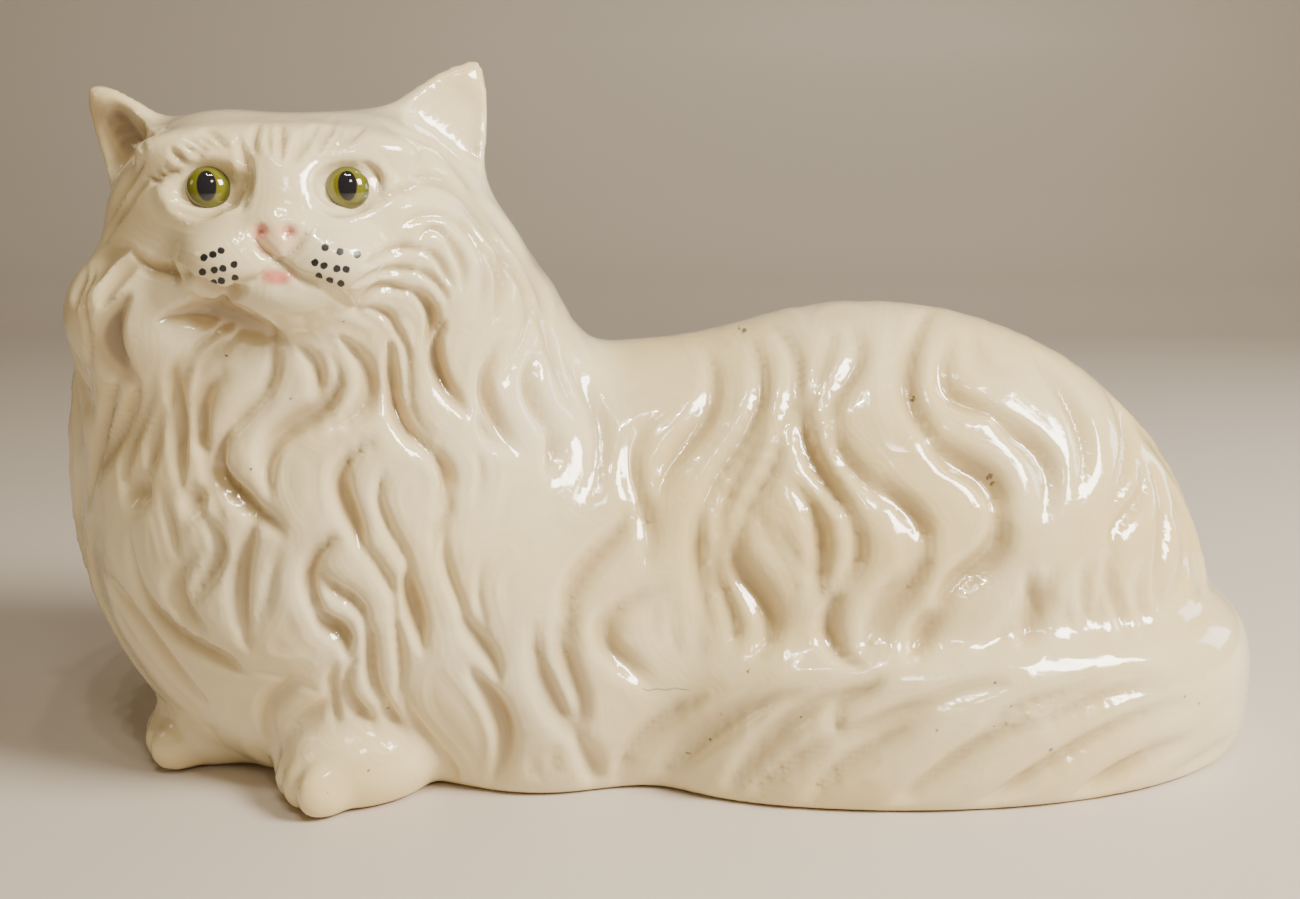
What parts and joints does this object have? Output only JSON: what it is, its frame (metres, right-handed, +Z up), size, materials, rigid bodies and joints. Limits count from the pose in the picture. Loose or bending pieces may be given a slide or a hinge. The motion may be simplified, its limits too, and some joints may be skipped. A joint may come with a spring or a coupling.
{
  "type": "ceramic cat figurine",
  "caption": "Life-size glazed ceramic figurine of a long-haired cat lying with its head up, with glass eyes; it stands on its flat underside as an ornament.",
  "frame": {"origin": "on the underside, below the middle of the bounding box", "axes": "+Z up, +X along the body from the chest towards the rump, and the side that the cat turns its face to is towards -Y"},
  "size_m": [0.459, 0.2018, 0.2586],
  "materials": {
    "glaze": "cream white gloss glaze on ceramic, warmer and darker where it pools in the grooves, with a painted pink nose and mouth and black whisker spots",
    "eye_glass": "clear domed glass over an olive green iris and a black upright pupil, opaque from the back"
  },
  "bodies": {
    "root": {"cat_body": "glaze", "left_eye": "eye_glass", "right_eye": "eye_glass"}
  },
  "joints": []
}
